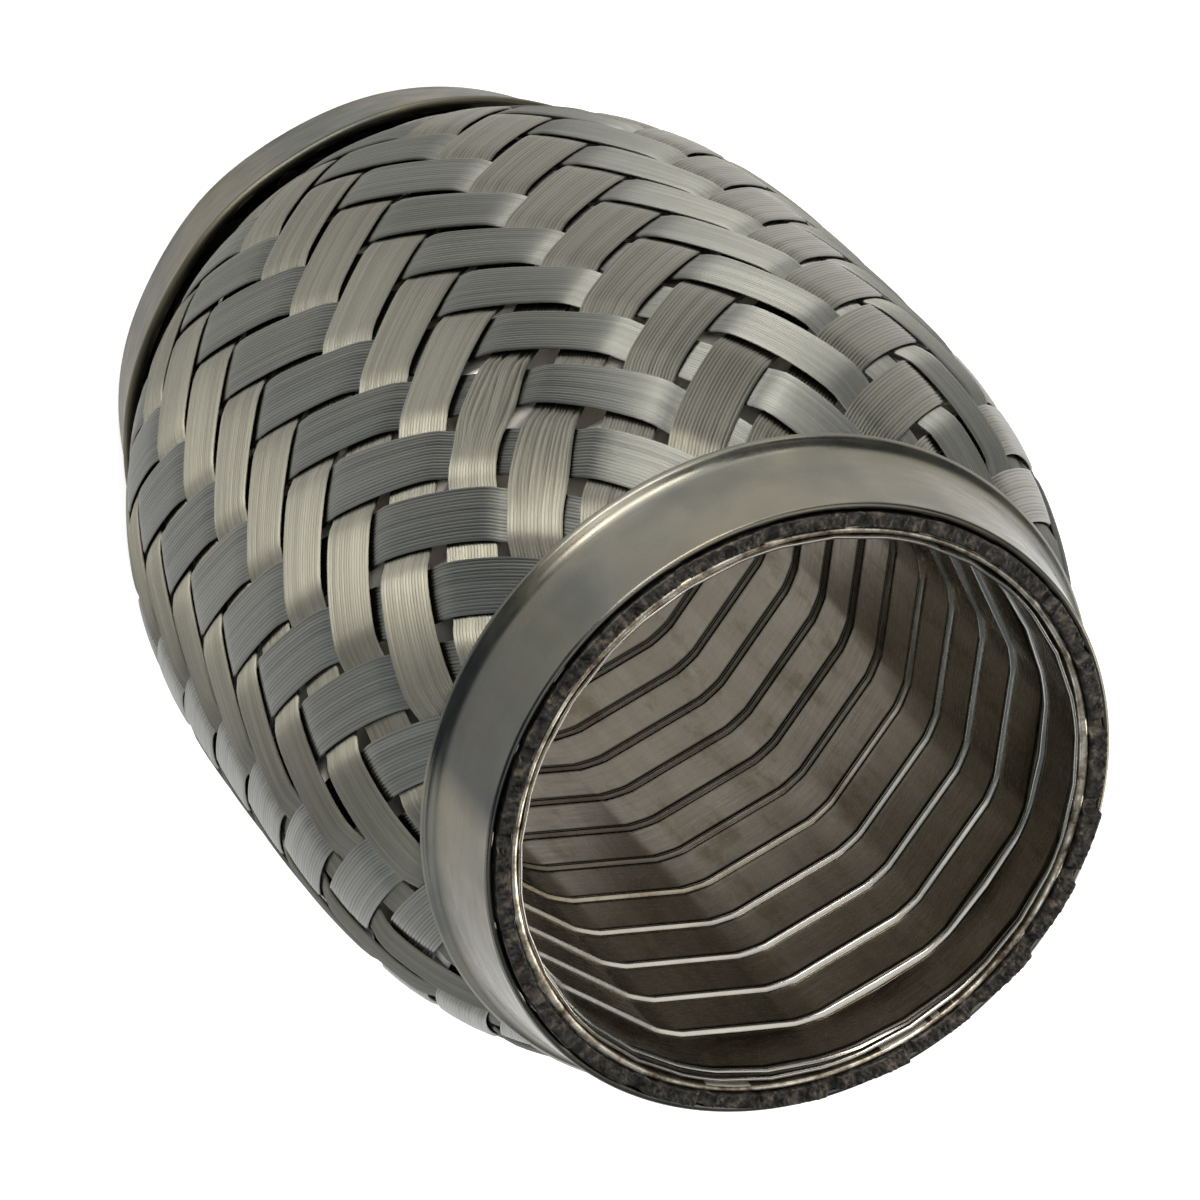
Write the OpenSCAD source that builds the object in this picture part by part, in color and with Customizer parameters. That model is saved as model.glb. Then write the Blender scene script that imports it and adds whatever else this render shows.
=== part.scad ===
// Exhaust flex pipe: a corrugated gas-tight tube with a strip-wound liner inside,
// a woven wire sleeve outside and a crimped sheet cap at each end.
// The pipe stands on its rear end, with its axis along Z.

/* [Pipe] */
// Length from the edge of one cap to the edge of the other
pipe_len = 102; // [96:1:130]
// Bore of the round socket at each end
bore_d = 55; // [45:0.5:65]
// Radial clearance between the layers where they are crimped together
crimp_gap = 0.05; // [0.02:0.01:0.1]

/* [Liner] */
// Wall of the strip-wound liner
liner_wall = 0.7; // [0.6:0.05:1]
// Depth of the round socket at each end
socket_len = 7; // [5:0.5:9]
// Flat sides of the liner between the sockets
liner_sides = 12; // [8:1:16]
// Angle that the rounding takes from each end of a flat side
corner_turn = 4; // [2:0.5:5]
// Room between the corners of the wound part and the bellows
wound_room = 0.15; // [0.05:0.05:0.3]
// Turns of the seam of the wound strip
seam_turns = 12; // [8:1:14]
// Width of the seam
seam_w = 1.2; // [0.8:0.1:2]
// Depth of the seam
seam_depth = 0.35; // [0.2:0.05:0.45]
// Slope at each side of the seam
seam_slope = 0.25; // [0.1:0.05:0.35]
// Start of the seam above the rear socket, in pitches
seam_lead = 0.65; // [0.1:0.05:0.75]

/* [Bellows] */
// Sheet of the corrugated tube
bellows_wall = 0.5; // [0.4:0.05:0.7]
// Corrugations of the tube
corrugations = 9; // [7:1:10]
// Straight end of the tube, from the cap's edge to the first corrugation
cuff_len = 16.5; // [15:0.5:18]
// Room between the corrugations and the sleeve
sleeve_gap = 0.3; // [0.2:0.1:2]

/* [Braid] */
// Ribbons of wire that run each way round
ribbons = 24; // [18:2:24]
// Half steps of the weave along the pipe
weave_rows = 18; // [14:2:22]
// Wall of the sleeve in the crimped ends
braid_end_wall = 1.4; // [1.1:0.1:1.8]
// Wall of the sleeve where it is woven
braid_wall = 1.6; // [1.3:0.1:2]
// Depth of the furrows between the ribbons
furrow = 0.8; // [0.5:0.05:0.9]
// How far a ribbon dips where it goes under the next
ribbon_dip = 0.4; // [0.2:0.05:0.45]
// Flat part of a ribbon's width
ribbon_flat = 0.82; // [0.7:0.02:0.9]
// Slope at each end of a ribbon, in steps of the weave
ribbon_end = 0.14; // [0.08:0.02:0.2]
// Half width of an open gap, in steps of the weave
gap_half = 0.2; // [0.1:0.02:0.26]
// Length of the sleeve that the cap's band grips
crimp_len = 6.5; // [5:0.25:7]
// Rise of the sleeve from its crimped end to its neck
neck_rise = 1.6; // [1.2:0.1:2]
// Swell of the sleeve between its necks
bulge = 8.7; // [7:0.1:11]
// Fullness of the swell
bulge_power = 3.5; // [3:0.1:5]
// How far the cut wire ends stand proud of the cap's edge
wire_proud = 0.8; // [0.4:0.1:1.2]

/* [Caps] */
// Sheet of the cap
cap_wall = 0.8; // [0.6:0.05:0.9]
// Length of the tapered band
band_len = 7.6; // [6.5:0.25:8.5]
// Rise of the band from the cap's edge to the flare
band_rise = 1.35; // [1:0.05:1.6]
// Radius of the flare
flare_r = 2.2; // [1.8:0.1:2.4]
// Angle of the flare where it meets the bead
flare_turn = 58; // [50:1:62]
// Radius of the rolled bead
bead_r = 0.5; // [0.5:0.05:0.7]

/* [Hidden] */
$fn = 120;
arc_fn = 48;
// Lap of the round and the straight parts of a cap's section
lap = 0.002;
total_len = pipe_len + 2 * wire_proud;
mid_z = total_len / 2;

// Radii of the layers at the ends, from the bore outwards
bore_r = bore_d / 2;
liner_out_r = bore_r + liner_wall;
bellows_in_r = liner_out_r + crimp_gap;
bellows_out_r = bellows_in_r + bellows_wall;
braid_in_r = bellows_out_r + crimp_gap;
braid_out_r = braid_in_r + braid_end_wall;
cap_in_r = braid_out_r + crimp_gap;
cap_out_r = cap_in_r + cap_wall;

// Cap: directions along and out of the tapered band, and centres of the edge, flare and bead
band_tilt = atan2(band_rise, band_len);
band_up = [sin(band_tilt), cos(band_tilt)];
band_out = [cos(band_tilt), -sin(band_tilt)];
band_foot = [cap_out_r, 0];
band_head = [cap_out_r + band_rise, band_len];
edge_up = cap_wall / 2 * (1 - sin(band_tilt)) / cos(band_tilt);
edge_mid = band_foot + edge_up * band_up - cap_wall / 2 * band_out;
flare_mid = band_head + flare_r * band_out;
bead_mid = flare_mid + (flare_r + cap_wall / 2) * [-cos(flare_turn), sin(flare_turn)];
cap_len = bead_mid.y + bead_r;

// Sleeve: the woven part starts level with the cap's bead
weave_start = wire_proud + cap_len;
weave_len = total_len - 2 * weave_start;
row_step = weave_len / weave_rows;
columns = 2 * ribbons;
column_turn = 360 / columns;
// Angle of the weave's first column
weave_turn = -97.5;
neck_r = braid_out_r + neck_rise;
crimp_rise = band_rise * crimp_len / band_len;
facet_room = 1 / cos(column_turn / 2);
// Rows with open gaps: two near each cap and one halfway
gap_rows = [2, 3, weave_rows / 2, weave_rows - 3, weave_rows - 2];

// Bellows: pitch and radii of the half-round crests and roots
bellows_start = wire_proud + cuff_len;
pitch = (total_len - 2 * bellows_start) / corrugations;
fold_out_r = pitch / 4 + bellows_wall / 2;
fold_in_r = pitch / 4 - bellows_wall / 2;
root_mid = bellows_in_r + fold_out_r;

// Liner: wound part between the two sockets
wound_start = wire_proud + socket_len;
wound_end = total_len - wound_start;
seam_pitch = (wound_end - wound_start) / (seam_turns + 1);
// Angle of the middle of the liner's first flat side
liner_turn = -12;
half_side = 180 / liner_sides - corner_turn;
liner_columns = 2 * liner_sides;
wound_out_r = bellows_in_r - wound_room;
wound_in_r = wound_out_r - liner_wall;

// Faces are listed anticlockwise as seen from outside, and turned round at the end
function flip(faces) = [for (f = faces) [f[2], f[1], f[0]]];

// Ring of points, and the band of faces between two rings, the lower one first
function ring(count, r, z, turn) =
    [for (i = [0:count - 1]) [r * cos(turn + i * 360 / count), r * sin(turn + i * 360 / count), z]];
function band(count, low, high) = [
    for (i = [0:count - 1])
        let (j = (i + 1) % count)
            each [[low + i, low + j, high + j], [low + i, high + j, high + i]]
];

// Outer radius of the sleeve at a height
function sleeve_r(z) =
    neck_r + bulge * (1 - pow(min(1, abs(z - mid_z) / (mid_z - weave_start)), bulge_power));

// Radius to the middle of a crest of the bellows, which lies just under the flat faces inside the sleeve
function crest_mid(z) =
    let (sleeve_in_r = sleeve_r(mid_z + abs(z - mid_z) + pitch / 4) - braid_wall)
        sleeve_in_r * cos(column_turn) - sleeve_gap - fold_out_r;

// Point of the weave at a column and a row, at a depth under the sleeve's outer radius
function weave_point(m, n, depth) =
    let (z = weave_start + n * row_step, r = sleeve_r(z) - depth, a = weave_turn + m * column_turn)
        [r * cos(a), r * sin(a), z];

// Gaps lie where column and row add up to an odd number. An open gap has four corners,
// anticlockwise from the lower left, and a closed one is a single point.
corner_steps = [[-1, -1], [1, -1], [1, 1], [-1, 1]];
function is_open(n) = len(search(n, gap_rows)) > 0;
function row_columns(n) = [for (k = [0:ribbons - 1]) 2 * k + 1 - n % 2];
function gap_points(depth) = [
    for (n = [0:weave_rows], m = row_columns(n))
        each is_open(n)
            ? [for (c = corner_steps) weave_point(m + gap_half * c.x, n + gap_half * c.y, depth)]
            : [weave_point(m, n, depth)]
];
row_first = [
    for (n = 0, first = 0; n <= weave_rows; first = first + ribbons * (is_open(n) ? 4 : 1), n = n + 1) first
];
gap_count = row_first[weave_rows] + ribbons;
function gap_corners(m, n, corners) =
    let (k = floor(((m + columns) % columns) / 2))
        is_open(n) ? [for (c = corners) row_first[n] + 4 * k + c] : [row_first[n] + k];

// A crossing of two ribbons is a diamond between four gaps. A ribbon lies over two crossings
// and then goes under two, so the wall is tiled by floats of two diamonds each, and by the
// halves of floats that the caps hide.
function diamond(m, n) = [
    gap_corners(m - 1, n, [2, 1]),
    gap_corners(m, n - 1, [3, 2]),
    gap_corners(m + 1, n, [0, 3]),
    gap_corners(m, n + 1, [1, 0])
];
function rising_float(m, n) = [
    gap_corners(m - 1, n, [2, 1]),
    gap_corners(m, n - 1, [3, 2]),
    gap_corners(m + 1, n, [0, 3, 2]),
    gap_corners(m + 2, n + 1, [0, 3]),
    gap_corners(m + 1, n + 2, [1, 0]),
    gap_corners(m, n + 1, [2, 1, 0])
];
function falling_float(m, n) = [
    gap_corners(m - 1, n, [2, 1]),
    gap_corners(m, n - 1, [3, 2, 1]),
    gap_corners(m + 1, n - 2, [3, 2]),
    gap_corners(m + 2, n - 1, [0, 3]),
    gap_corners(m + 1, n, [1, 0, 3]),
    gap_corners(m, n + 1, [1, 0])
];

// Raised faces of the floats: along is counted in crossings, across from -1 to 1
along_ends = [ribbon_end, 1, 2 - ribbon_end];
function dip(along) = along == 1 ? 0 : ribbon_dip;
function rising_point(m, n, along, across) =
    weave_point(m - 0.5 + along + across / 2, n - 0.5 + along - across / 2, dip(along));
function falling_point(m, n, along, across) =
    weave_point(m - 0.5 + along + across / 2, n + 0.5 - along + across / 2, dip(along));
function rising_top(m, n) = [
    rising_point(m, n, along_ends[0], -ribbon_flat),
    for (a = along_ends) rising_point(m, n, a, ribbon_flat),
    for (i = [2, 1]) rising_point(m, n, along_ends[i], -ribbon_flat)
];
function falling_top(m, n) = [
    for (a = along_ends) falling_point(m, n, a, -ribbon_flat),
    for (i = [2, 1, 0]) falling_point(m, n, along_ends[i], ribbon_flat)
];
function half_top(m, n) = [
    for (c = [[-1, 0], [0, -1], [1, 0], [0, 1]])
        weave_point(m + ribbon_flat * c.x, n + ribbon_flat * c.y, ribbon_dip)
];

// Sloped faces between a float's edge and its raised face, and the raised face itself
function skirt(edge, top) = [
    for (i = [0:len(edge) - 1])
        let (j = (i + 1) % len(edge), here = edge[i], last = here[len(here) - 1])
            each [
                for (k = [0:1:len(here) - 2]) [here[k], here[k + 1], top + i],
                [last, edge[j][0], top + j],
                [last, top + j, top + i]
            ]
];
function float_faces(edge, top, first_side) = concat(
    skirt(edge, top),
    [
        for (i = [1:len(edge) - 2])
            [top + first_side, top + (first_side + i) % 6, top + (first_side + i + 1) % 6]
    ]
);
function half_faces(edge, top) =
    concat(skirt(edge, top), [[top, top + 1, top + 2], [top, top + 2, top + 3]]);

// Where the floats start, as column and row
quarters = [0:4:columns - 1];
rising_starts = [for (m = quarters, n = [2:2:weave_rows - 2]) [m, n]];
falling_starts = [for (m = quarters, n = [2:2:weave_rows - 2]) [m + 2, n]];
half_starts = [for (m = quarters) each [[m + 1, 1], [m + 3, weave_rows - 1]]];
crossings = [for (n = [1:weave_rows - 1], k = [0:ribbons - 1]) [2 * k + n % 2, n]];

// Fan of faces over a closed loop of points
function fan(loop) = [for (i = [1:len(loop) - 2]) [loop[0], loop[i], loop[i + 1]]];
function joined(groups) = [for (g = groups) each g];

// Ends of the sleeve: the outermost row of gaps meets the smooth ring, which has a point per column
function rim_faces(row, circle_first, shift) = [
    for (m = [1:2:columns - 1])
        let (
            before = circle_first + m - 1,
            here = circle_first + m,
            after = circle_first + (m + 1) % columns,
            gap = shift + gap_corners(m, row, [0])[0],
            next = shift + gap_corners(m + 2, row, [0])[0]
        )
            each [[before, here, gap], [here, after, gap], [after, next, gap]]
];
function notch_faces(row, inner_row, shift) = [
    for (m = [1:2:columns - 1])
        [for (at = [[m, row], [m + 2, row], [m + 1, inner_row]]) shift + gap_corners(at.x, at.y, [0])[0]]
];
function add_to(faces, shift) = [for (f = faces) [for (i = f) i + shift]];

module braid_sleeve() {
    floats = len(rising_starts);
    crimp_z = wire_proud + crimp_len;
    outer_in = gap_count;
    tops = 2 * gap_count;
    half_tops = tops + 12 * floats;
    rings = half_tops + 4 * len(half_starts);
    crimp_in_r = braid_in_r * facet_room;
    ring_sizes = [
        [braid_out_r, 0], [braid_out_r, wire_proud], [braid_out_r + crimp_rise, crimp_z],
        [crimp_in_r, 0], [crimp_in_r, wire_proud], [crimp_in_r + crimp_rise, crimp_z]
    ];
    points = concat(
        gap_points(furrow),
        gap_points(braid_wall),
        joined([for (s = rising_starts) rising_top(s.x, s.y)]),
        joined([for (s = falling_starts) falling_top(s.x, s.y)]),
        joined([for (s = half_starts) half_top(s.x, s.y)]),
        joined([for (s = ring_sizes) ring(columns, s.x, s.y, weave_turn)]),
        joined([for (s = ring_sizes) ring(columns, s.x, total_len - s.y, weave_turn)])
    );
    rising_faces = [
        for (i = [0:floats - 1])
            each float_faces(rising_float(rising_starts[i].x, rising_starts[i].y), tops + 6 * i, 2)
    ];
    falling_faces = [
        for (i = [0:floats - 1])
            each float_faces(
                falling_float(falling_starts[i].x, falling_starts[i].y), tops + 6 * (floats + i), 1
            )
    ];
    half_float_faces = [
        for (i = [0:len(half_starts) - 1])
            each half_faces(diamond(half_starts[i].x, half_starts[i].y), half_tops + 4 * i)
    ];
    inside = add_to(joined([for (c = crossings) fan(joined(diamond(c.x, c.y)))]), outer_in);
    gap_sides = [
        for (n = gap_rows, m = row_columns(n))
            let (corners = gap_corners(m, n, [0, 1, 2, 3]))
                for (c = [0:3])
                    let (a = corners[c], b = corners[(c + 1) % 4])
                        each [[a, b, b + outer_in], [a, b + outer_in, a + outer_in]]
    ];
    low = [for (i = [0:5]) rings + i * columns];
    high = [for (i = [6:11]) rings + i * columns];
    outside_faces = concat(
        rising_faces, falling_faces, half_float_faces, gap_sides,
        notch_faces(0, 1, 0),
        rim_faces(0, low[2], 0),
        band(columns, low[1], low[2]),
        band(columns, low[0], low[1]),
        band(columns, low[3], low[0]),
        flip(inside),
        flip(notch_faces(0, 1, outer_in)),
        flip(rim_faces(0, low[5], outer_in)),
        flip(band(columns, low[4], low[5])),
        flip(band(columns, low[3], low[4])),
        flip(notch_faces(weave_rows, weave_rows - 1, 0)),
        flip(rim_faces(weave_rows, high[2], 0)),
        band(columns, high[2], high[1]),
        band(columns, high[1], high[0]),
        band(columns, high[0], high[3]),
        notch_faces(weave_rows, weave_rows - 1, outer_in),
        rim_faces(weave_rows, high[5], outer_in),
        flip(band(columns, high[5], high[4])),
        flip(band(columns, high[4], high[3]))
    );
    color([0.56, 0.55, 0.52]) polyhedron(points, flip(outside_faces), convexity = 10);
}

// Wound part of the liner: columns of points on the corners of the flat sides, with the
// seam climbing one pitch for each turn
seam_profile = [
    [0, 0], [seam_slope, seam_depth], [seam_w - seam_slope, seam_depth], [seam_w, 0]
];
seam_points = len(seam_profile);
column_points = seam_points * seam_turns + 2;
function liner_angle(c) =
    liner_turn + floor(c / 2) * 360 / liner_sides + (c % 2 == 0 ? -half_side : half_side);
function liner_point(c, r, z) = [r * cos(liner_angle(c)), r * sin(liner_angle(c)), z];
function seam_z(c, turn) =
    wound_start + seam_pitch * (turn + seam_lead + (liner_angle(c) - liner_angle(0)) / 360);
function liner_column(c) = [
    liner_point(c, wound_in_r, wound_start),
    for (t = [0:seam_turns - 1], p = seam_profile) liner_point(c, wound_in_r + p.y, seam_z(c, t) + p.x),
    liner_point(c, wound_in_r, wound_end)
];

module wound_part() {
    last = liner_columns - 1;
    outer = liner_columns * column_points;
    points = concat(
        joined([for (c = [0:last]) liner_column(c)]),
        [for (c = [0:last]) liner_point(c, wound_out_r, wound_start)],
        [for (c = [0:last]) liner_point(c, wound_out_r, wound_end)]
    );
    // Strips between neighbouring columns
    strips = [
        for (c = [0:last - 1], i = [0:column_points - 2])
            let (a = c * column_points + i, b = a + column_points)
                each [[a, b, b + 1], [a, b + 1, a + 1]]
    ];
    // The last strip joins each turn of the seam to the next one
    wrap = last * column_points;
    steps = column_points - 1 - seam_points;
    wrap_strip = concat(
        [for (i = [0:seam_points - 1]) [wrap, i, i + 1]],
        [
            for (i = [0:steps - 1])
                let (b = i + seam_points)
                    each [[wrap + i, b, b + 1], [wrap + i, b + 1, wrap + i + 1]]
        ],
        [for (i = [steps:column_points - 2]) [wrap + i, column_points - 1, wrap + i + 1]]
    );
    foot = [for (c = [0:last]) c * column_points];
    head = [for (f = foot) f + column_points - 1];
    end_rings = [
        for (c = [0:last])
            let (d = (c + 1) % liner_columns, out_c = outer + c, out_d = outer + d)
                each [
                    [foot[c], foot[d], out_d], [foot[c], out_d, out_c],
                    [out_c + liner_columns, out_d + liner_columns, head[d]],
                    [out_c + liner_columns, head[d], head[c]]
                ]
    ];
    faces = concat(
        flip(strips), flip(wrap_strip), band(liner_columns, outer, outer + liner_columns), end_rings
    );
    polyhedron(points, flip(faces), convexity = 10);
}

module socket(z) {
    translate([0, 0, z]) difference() {
        cylinder(h = socket_len, r = liner_out_r);
        translate([0, 0, -1]) cylinder(h = socket_len + 2, r = bore_r);
    }
}

module interlock_liner() {
    color([0.47, 0.44, 0.39]) union() {
        socket(wire_proud);
        wound_part();
        socket(wound_end);
    }
}

// Half or quarter of a round fold of the bellows, open towards the axis or away from it
module fold(r, z, side, from_z, to_z) {
    translate([r, z]) intersection() {
        difference() {
            circle(r = fold_out_r, $fn = arc_fn);
            circle(r = fold_in_r, $fn = arc_fn);
        }
        translate([side > 0 ? 0 : -pitch, from_z]) square([pitch, to_z - from_z]);
    }
}

module bellows_section() {
    last_z = total_len - bellows_start;
    for (z = [wire_proud, last_z])
        translate([bellows_in_r, z]) square([bellows_wall, cuff_len]);
    fold(root_mid, bellows_start, -1, 0, pitch);
    fold(root_mid, last_z, -1, -pitch, 0);
    for (i = [0:corrugations - 1]) {
        z = bellows_start + (i + 0.5) * pitch;
        crest = crest_mid(z);
        fold(crest, z, 1, -pitch, pitch);
        for (side = [-1, 1]) {
            low_z = z + side * pitch / 4 - bellows_wall / 2;
            high_z = low_z + bellows_wall;
            polygon([[root_mid, low_z], [crest, low_z], [crest, high_z], [root_mid, high_z]]);
        }
    }
    for (i = [1:corrugations - 1])
        fold(root_mid, bellows_start + i * pitch, -1, -pitch, pitch);
}

module bellows() {
    color([0.72, 0.69, 0.62]) rotate_extrude() bellows_section();
}

// Area on the axis side of the cap's outline, with the outline moved inwards by a depth
module cap_side(depth, low, turn, reach) {
    difference() {
        polygon([
            band_foot + low * band_up - reach * band_out,
            band_foot + low * band_up - depth * band_out,
            band_head - depth * band_out,
            flare_mid,
            flare_mid + reach * [-cos(turn), sin(turn)]
        ]);
        translate(flare_mid) circle(r = flare_r + depth + lap, $fn = 2 * arc_fn);
    }
}

// Sheet of a cap, from its round edge along the band and the flare to the bead
module cap_section() {
    reach = 2 * (flare_r + cap_wall);
    difference() {
        cap_side(0, edge_up, flare_turn, reach);
        cap_side(cap_wall, -reach, flare_turn + 30, 2 * reach);
    }
    translate(edge_mid) circle(r = cap_wall / 2 + lap, $fn = arc_fn);
    translate(bead_mid) circle(r = bead_r, $fn = arc_fn);
}

module cap() {
    color([0.50, 0.49, 0.45]) translate([0, 0, wire_proud]) rotate_extrude() cap_section();
}

module rear_cap() {
    cap();
}

module front_cap() {
    translate([0, 0, total_len]) mirror([0, 0, 1]) cap();
}

front_cap();
rear_cap();
braid_sleeve();
bellows();
interlock_liner();
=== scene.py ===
import math

import bmesh
import bpy
import numpy as np
from mathutils import Matrix, Vector


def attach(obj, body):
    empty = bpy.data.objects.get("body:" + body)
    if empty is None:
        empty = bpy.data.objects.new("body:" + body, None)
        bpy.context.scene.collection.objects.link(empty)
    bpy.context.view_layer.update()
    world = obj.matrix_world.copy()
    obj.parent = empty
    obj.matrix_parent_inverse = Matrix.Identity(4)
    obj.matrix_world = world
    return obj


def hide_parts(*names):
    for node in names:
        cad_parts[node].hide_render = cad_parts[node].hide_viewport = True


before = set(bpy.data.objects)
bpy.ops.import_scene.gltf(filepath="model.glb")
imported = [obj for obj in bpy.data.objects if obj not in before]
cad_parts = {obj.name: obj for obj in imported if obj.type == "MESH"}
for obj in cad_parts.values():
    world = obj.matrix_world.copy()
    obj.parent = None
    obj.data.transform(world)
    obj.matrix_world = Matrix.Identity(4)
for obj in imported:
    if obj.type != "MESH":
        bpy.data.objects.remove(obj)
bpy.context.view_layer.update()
MM = 0.001

# Sizes of the part in millimetres, as in its source
PIPE_LEN, PROUD = 102.0, 0.8
TOTAL = PIPE_LEN + 2 * PROUD
MID = TOTAL / 2
BORE_R, SOCKET, CRIMP_GAP = 27.5, 7.0, 0.05
LINER_WALL, BELLOWS_WALL, BRAID_WALL, CAP_WALL = 0.7, 0.5, 1.4, 0.8
BELLOWS_IN = BORE_R + LINER_WALL + CRIMP_GAP
BELLOWS_OUT = BELLOWS_IN + BELLOWS_WALL
BRAID_IN = BELLOWS_OUT + CRIMP_GAP
BRAID_OUT = BRAID_IN + BRAID_WALL
CAP_OUT = BRAID_OUT + CRIMP_GAP + CAP_WALL
BAND_LEN, BAND_RISE = 7.6, 1.35
FLARE_R, FLARE_TURN, BEAD_R = 2.2, math.radians(58), 0.5
NECK_R, BULGE, POWER = BRAID_OUT + 1.6, 8.7, 3.5
CRIMP_LEN = 6.5

# Section of a cap: directions along and out of its tapered band, and centres of its flare and bead
TILT = math.atan2(BAND_RISE, BAND_LEN)
BAND_UP = np.array([math.sin(TILT), math.cos(TILT)])
BAND_SIDE = np.array([math.cos(TILT), -math.sin(TILT)])
BAND_HEAD = np.array([CAP_OUT + BAND_RISE, BAND_LEN])
FLARE_MID = BAND_HEAD + FLARE_R * BAND_SIDE
FLARE_END = np.array([-math.cos(FLARE_TURN), math.sin(FLARE_TURN)])
BEAD_MID = FLARE_MID + (FLARE_R + CAP_WALL / 2) * FLARE_END

# Grid of the weave: rows along the pipe, and columns round it
WEAVE_START = PROUD + BEAD_MID[1] + BEAD_R
ROWS, RIBBONS = 18, 24
ROW_STEP = (TOTAL - 2 * WEAVE_START) / ROWS
COLUMNS = 2 * RIBBONS
COLUMN = 360 / COLUMNS
WEAVE_TURN = -97.5


def sleeve_r(z):
    """Outer radius of the braid at a height."""
    d = np.abs(z - MID)
    woven = NECK_R + BULGE * (1 - np.minimum(1, d / (MID - WEAVE_START)) ** POWER)
    crimp_rise = BAND_RISE * CRIMP_LEN / BAND_LEN
    crimped = np.interp(d, [MID - WEAVE_START, MID - PROUD - CRIMP_LEN, MID - PROUD, MID],
                        [NECK_R, BRAID_OUT + crimp_rise, BRAID_OUT, BRAID_OUT])
    return np.where(d < MID - WEAVE_START, woven, crimped)


def smoothstep(a, b, x):
    t = np.clip((x - a) / (b - a), 0, 1)
    return t * t * (3 - 2 * t)


def turn_from(deg, at):
    """Angle from a place, from -180 to 180 degrees."""
    return (deg - at + 180) % 360 - 180


def hump(deg, at, wide):
    """Smooth hump of height 1 at an angle."""
    return np.exp(-(turn_from(deg, at) / wide) ** 2)


def waves(x, seed, count=5, low=0.3, high=2.0):
    """Smooth seeded noise along one axis, about -1 to 1."""
    r = np.random.default_rng(seed)
    out = np.zeros_like(x, float)
    for _ in range(count):
        out += np.sin(x * r.uniform(low, high) + r.uniform(0, 6.28)) * r.uniform(0.5, 1)
    return out / count * 1.6


def polar(r, phi, z):
    return np.stack([r * np.cos(phi), r * np.sin(phi), np.broadcast_to(z, np.shape(r * phi))], -1)


def arc(mid, radius, start, stop, count):
    t = np.linspace(start, stop, count)
    return mid + radius * np.stack([np.cos(t), np.sin(t)], -1)


def make(name, points, quads, uv=None, values=None, sharp=None):
    """A mesh piece from points in millimetres and an array of four-sided faces."""
    points = np.asarray(points, float).reshape(-1, 3)
    quads = np.asarray(quads, np.int32).reshape(-1, 4)
    mesh = bpy.data.meshes.new(name)
    mesh.vertices.add(len(points))
    mesh.vertices.foreach_set("co", (points * MM).astype(np.float32).ravel())
    mesh.loops.add(4 * len(quads))
    mesh.loops.foreach_set("vertex_index", quads.ravel())
    mesh.polygons.add(len(quads))
    mesh.polygons.foreach_set("loop_start", np.arange(len(quads), dtype=np.int32) * 4)
    mesh.polygons.foreach_set("use_smooth", np.ones(len(quads), bool))
    mesh.update(calc_edges=True)
    if uv is not None:
        layer = mesh.uv_layers.new(name="run")
        layer.uv.foreach_set("vector", np.asarray(uv, np.float32).reshape(-1, 2)[quads.ravel()].ravel())
    for key, v in (values or {}).items():
        data = mesh.attributes.new(key, "FLOAT", "POINT").data
        data.foreach_set("value", np.asarray(v, np.float32).ravel())
    if sharp is not None:
        # An edge is sharp where both its ends have the same mark
        ends = np.zeros(2 * len(mesh.edges), np.int32)
        mesh.edges.foreach_get("vertices", ends)
        mark = np.asarray(sharp).ravel()[ends.reshape(-1, 2)]
        data = mesh.attributes.new("sharp_edge", "BOOLEAN", "EDGE").data
        data.foreach_set("value", (mark[:, 0] > 0) & (mark[:, 0] == mark[:, 1]))
    obj = bpy.data.objects.new(name, mesh)
    bpy.context.scene.collection.objects.link(obj)
    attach(obj, "root")
    return obj


def grid_quads(rows, cols, close_cols=False, close_rows=False, first=0):
    """Faces of a grid of points, numbered row by row."""
    steps = np.arange(rows - (not close_rows)), np.arange(cols - (not close_cols))
    i, j = np.meshgrid(*steps, indexing="ij")
    i2, j2 = (i + 1) % rows, (j + 1) % cols
    corners = [i * cols + j, i * cols + j2, i2 * cols + j2, i2 * cols + j]
    return first + np.stack(corners, -1).reshape(-1, 4)


# Braid: ribbons of parallel wires, woven two over and two under
WIRES = 16
# Places along and across a ribbon are in steps of the weave, and its heights in millimetres
RIBBON_STEPS, RIBBON_INSET = 142, 3.0
# Width of a ribbon, how much narrower it gets towards the front and the rear, and over which rows
RIBBON_W, FRONT_TAPER, REAR_TAPER = 0.85, 0.08, 0.03
FRONT_ROWS, REAR_ROWS = (11.5, 15.5), (4, 1)
WIDTH_SPREAD, WIDTH_WAVE, SIDE_WAVE = 0.025, 0.012, 0.022
LIFT, OVER_STEEP, RIBBON_T, CROWN, SINK = 0.4, 4, 0.34, 0.06, 0.09
SETTLE, SETTLE_WAVE = 0.05, 0.04
# Levels of the furrows between the wires, of the wires and of a ribbon's edges
FURROW, WIRE_TOP, EDGE_TOP = (-0.15, -0.09), (-0.02, 0.0), -0.22
UNDERSIDE = 0.49
# The ribbons are narrowest round one place near the mouth: its column and row, by how much, and how far
OPEN_COLUMN, OPEN_ROW, OPEN_BY, OPEN_REACH = -0.3, 14, 0.14, 5
# Frayed ribbons, by direction and number: the row where the wires come loose, and how much
FRAYED = {(1, 17): (14, 1.0), (1, 16): (16, 0.5)}
FRAY_LEN, FRAY_SPREAD, FRAY_SCATTER, FRAY_FAN = 0.75, 0.1, 0.05, 0.16
FRAY_CURL, CURL_TURN, CURL_START = 0.03, 6, 9
FRAY_LIFT, FRAY_FURROW, FRAY_TONE = 0.1, 0.26, 1.4
# Scale of the map that runs along the wires, in millimetres
MAP_ALONG, MAP_ACROSS = 6.9, 5.7


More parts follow.
